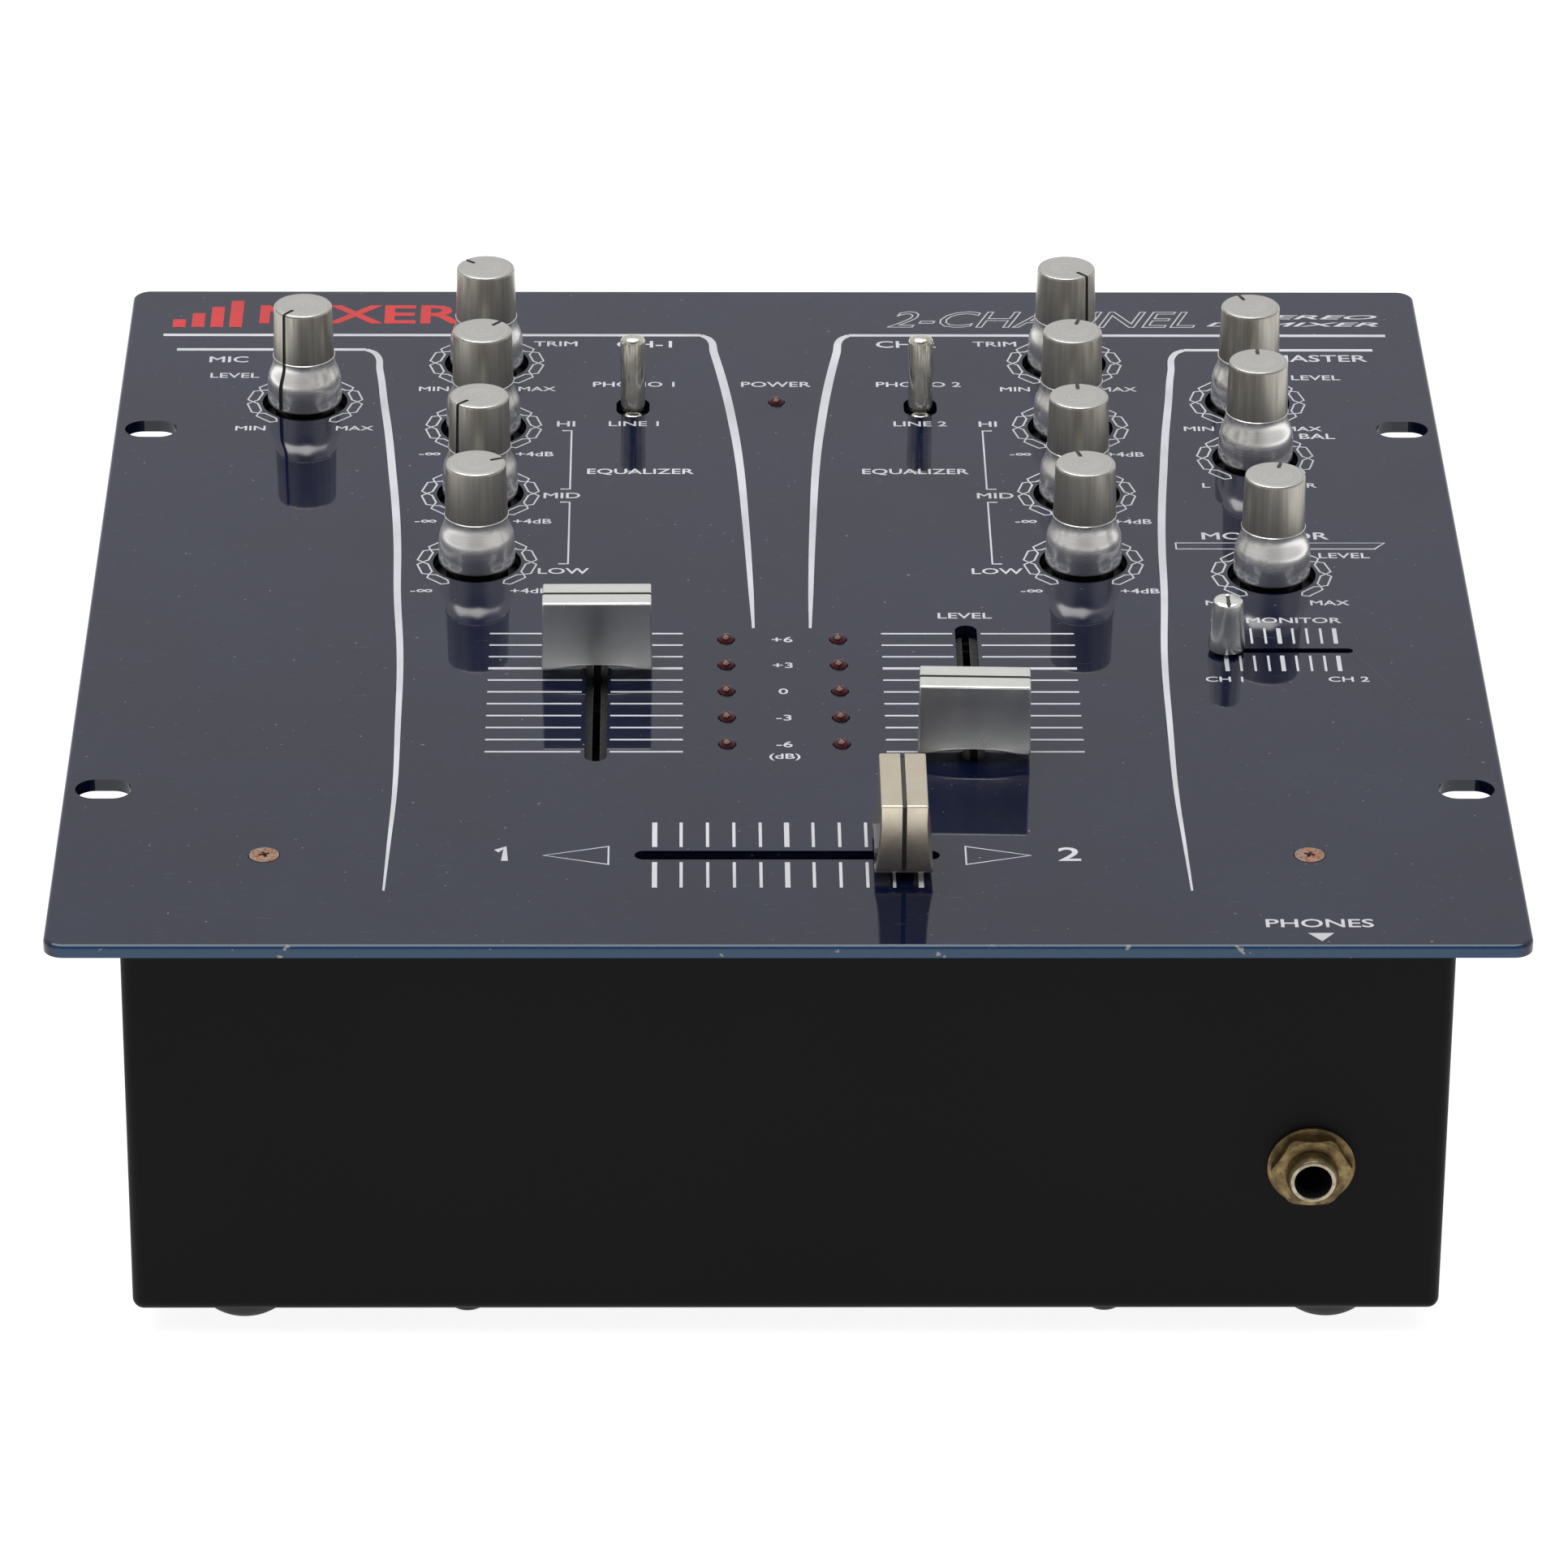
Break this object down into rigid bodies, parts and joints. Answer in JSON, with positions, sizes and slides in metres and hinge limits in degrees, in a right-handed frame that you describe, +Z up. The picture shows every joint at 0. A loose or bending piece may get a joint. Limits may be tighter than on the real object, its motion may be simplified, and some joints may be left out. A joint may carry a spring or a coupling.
{
  "type": "dj mixer",
  "caption": "Two-channel DJ mixer with a rack-mount faceplate, rotary knobs, channel faders, crossfader, input levers, level meter and a black steel case.",
  "frame": {"origin": "on the surface the mixer stands on, under the middle of its bounding box", "axes": "+Z up, +Y from the user's side to the rear sockets, +X to the user's right"},
  "size_m": [0.254, 0.2726, 0.101],
  "materials": {
    "faceplate_paint": "glossy dark blue enamel",
    "case_paint": "semi-matte black powder coat",
    "chassis_steel": "black",
    "knob_metal": "satin turned",
    "silver_cap": "silver lacquer",
    "champagne_cap": "champagne lacquer",
    "nickel_plate": "polished nickel",
    "plated_steel": "plated",
    "blade_steel": "blackened",
    "tarnished_brass": "tarnished",
    "black_screw": "black oxide",
    "rusty_screw": "rusted steel",
    "black_moulding": "moulded",
    "insert_plastic": "moulded",
    "red_lens": "unlit red lens",
    "circuit_board": "green solder mask",
    "foot_rubber": "matte"
  },
  "bodies": {
    "mixer": {"faceplate": "faceplate_paint", "control_chassis": "chassis_steel", "case_wrap": "case_paint", "bottom_plate": "case_paint", "feet": "foot_rubber", "faceplate_screws": "rusty_screw", "case_screws": "black_screw", "pot_bodies": "plated_steel", "pot_nuts": "plated_steel", "fader_bodies": "plated_steel", "input_switch_bodies": "black_moulding", "leds": "red_lens", "control_board": "circuit_board", "main_board": "circuit_board", "board_standoffs": "plated_steel", "phones_jack": "tarnished_brass", "mic_jack": "tarnished_brass", "jack_nuts": "tarnished_brass", "rca_jack_block": "black_moulding", "rca_shells": "plated_steel", "rca_inserts": "insert_plastic", "power_inlet": "black_moulding", "power_switch_frame": "black_moulding", "ground_post": "plated_steel"},
    "mic_level_knob": {"knob_mic_level": "knob_metal", "shaft_mic_level": "plated_steel"},
    "ch1_trim_knob": {"knob_ch1_trim": "knob_metal", "shaft_ch1_trim": "plated_steel"},
    "ch1_hi_knob": {"knob_ch1_hi": "knob_metal", "shaft_ch1_hi": "plated_steel"},
    "ch1_mid_knob": {"knob_ch1_mid": "knob_metal", "shaft_ch1_mid": "plated_steel"},
    "ch1_low_knob": {"knob_ch1_low": "knob_metal", "shaft_ch1_low": "plated_steel"},
    "ch2_trim_knob": {"knob_ch2_trim": "knob_metal", "shaft_ch2_trim": "plated_steel"},
    "ch2_hi_knob": {"knob_ch2_hi": "knob_metal", "shaft_ch2_hi": "plated_steel"},
    "ch2_mid_knob": {"knob_ch2_mid": "knob_metal", "shaft_ch2_mid": "plated_steel"},
    "ch2_low_knob": {"knob_ch2_low": "knob_metal", "shaft_ch2_low": "plated_steel"},
    "master_level_knob": {"knob_master_level": "knob_metal", "shaft_master_level": "plated_steel"},
    "balance_knob": {"knob_balance": "knob_metal", "shaft_balance": "plated_steel"},
    "monitor_level_knob": {"knob_monitor_level": "knob_metal", "shaft_monitor_level": "plated_steel"},
    "ch1_fader_slider": {"cap_ch1_fader": "silver_cap", "stem_ch1_fader": "blade_steel"},
    "ch2_fader_slider": {"cap_ch2_fader": "silver_cap", "stem_ch2_fader": "blade_steel"},
    "crossfader_slider": {"cap_crossfader": "champagne_cap", "stem_crossfader": "blade_steel"},
    "monitor_fader_slider": {"cap_monitor_fader": "silver_cap", "stem_monitor_fader": "blade_steel"},
    "ch1_input_lever": {"lever_ch1_input": "nickel_plate"},
    "ch2_input_lever": {"lever_ch2_input": "nickel_plate"},
    "power_rocker_key": {"power_rocker": "black_moulding"},
    "ground_thumb_nut": {"ground_nut": "tarnished_brass"}
  },
  "joints": [
    {"name": "mic_level_turn", "type": "hinge", "parent": "mixer", "child": "mic_level_knob", "pos_m": [-0.091, 0.08035, 0.0805], "axis": [0, 0, 1], "range_deg": [-292, 8]},
    {"name": "ch1_trim_turn", "type": "hinge", "parent": "mixer", "child": "ch1_trim_knob", "pos_m": [-0.0563, 0.09795, 0.0805], "axis": [0, 0, 1], "range_deg": [-199, 101]},
    {"name": "ch1_hi_turn", "type": "hinge", "parent": "mixer", "child": "ch1_hi_knob", "pos_m": [-0.0563, 0.06908, 0.0805], "axis": [0, 0, 1], "range_deg": [-110, 190]},
    {"name": "ch1_mid_turn", "type": "hinge", "parent": "mixer", "child": "ch1_mid_knob", "pos_m": [-0.0563, 0.04021, 0.0805], "axis": [0, 0, 1], "range_deg": [-285, 15]},
    {"name": "ch1_low_turn", "type": "hinge", "parent": "mixer", "child": "ch1_low_knob", "pos_m": [-0.0563, 0.01134, 0.0805], "axis": [0, 0, 1], "range_deg": [-83, 217]},
    {"name": "ch2_trim_turn", "type": "hinge", "parent": "mixer", "child": "ch2_trim_knob", "pos_m": [0.0563, 0.09795, 0.0805], "axis": [0, 0, 1], "range_deg": [-13, 287]},
    {"name": "ch2_hi_turn", "type": "hinge", "parent": "mixer", "child": "ch2_hi_knob", "pos_m": [0.0563, 0.06908, 0.0805], "axis": [0, 0, 1], "range_deg": [-135, 165]},
    {"name": "ch2_mid_turn", "type": "hinge", "parent": "mixer", "child": "ch2_mid_knob", "pos_m": [0.0563, 0.04021, 0.0805], "axis": [0, 0, 1], "range_deg": [-152, 148]},
    {"name": "ch2_low_turn", "type": "hinge", "parent": "mixer", "child": "ch2_low_knob", "pos_m": [0.0563, 0.01134, 0.0805], "axis": [0, 0, 1], "range_deg": [-166, 134]},
    {"name": "master_level_turn", "type": "hinge", "parent": "mixer", "child": "master_level_knob", "pos_m": [0.091, 0.08035, 0.0805], "axis": [0, 0, 1], "range_deg": [-172, 128]},
    {"name": "balance_turn", "type": "hinge", "parent": "mixer", "child": "balance_knob", "pos_m": [0.091, 0.05565, 0.0805], "axis": [0, 0, 1], "range_deg": [-150, 150]},
    {"name": "monitor_level_turn", "type": "hinge", "parent": "mixer", "child": "monitor_level_knob", "pos_m": [0.091, 0.00655, 0.0805], "axis": [0, 0, 1], "range_deg": [-135, 165]},
    {"name": "ch1_fader_slide", "type": "slide", "parent": "mixer", "child": "ch1_fader_slider", "axis": [0, 1, 0], "range_m": [-0.03245, 0.01255]},
    {"name": "ch2_fader_slide", "type": "slide", "parent": "mixer", "child": "ch2_fader_slider", "axis": [0, 1, 0], "range_m": [0, 0.045]},
    {"name": "crossfader_slide", "type": "slide", "parent": "mixer", "child": "crossfader_slider", "axis": [1, 0, 0], "range_m": [-0.0425, 0.0025]},
    {"name": "monitor_fader_slide", "type": "slide", "parent": "mixer", "child": "monitor_fader_slider", "axis": [1, 0, 0], "range_m": [0, 0.02]},
    {"name": "ch1_input_switch", "type": "hinge", "parent": "mixer", "child": "ch1_input_lever", "pos_m": [-0.0277, 0.07735, 0.0775], "axis": [1, 0, 0], "range_deg": [0, 18]},
    {"name": "ch2_input_switch", "type": "hinge", "parent": "mixer", "child": "ch2_input_lever", "pos_m": [0.0277, 0.07735, 0.0775], "axis": [1, 0, 0], "range_deg": [0, 18]},
    {"name": "power_switch", "type": "hinge", "parent": "mixer", "child": "power_rocker_key", "pos_m": [0.064, 0.12775, 0.041], "axis": [-1, 0, 0], "range_deg": [0, 20]},
    {"name": "ground_nut_turn", "type": "hinge", "parent": "mixer", "child": "ground_thumb_nut", "pos_m": [0.04, 0.13175, 0.041], "axis": [0, 1, 0], "range_deg": [0, 360]}
  ]
}
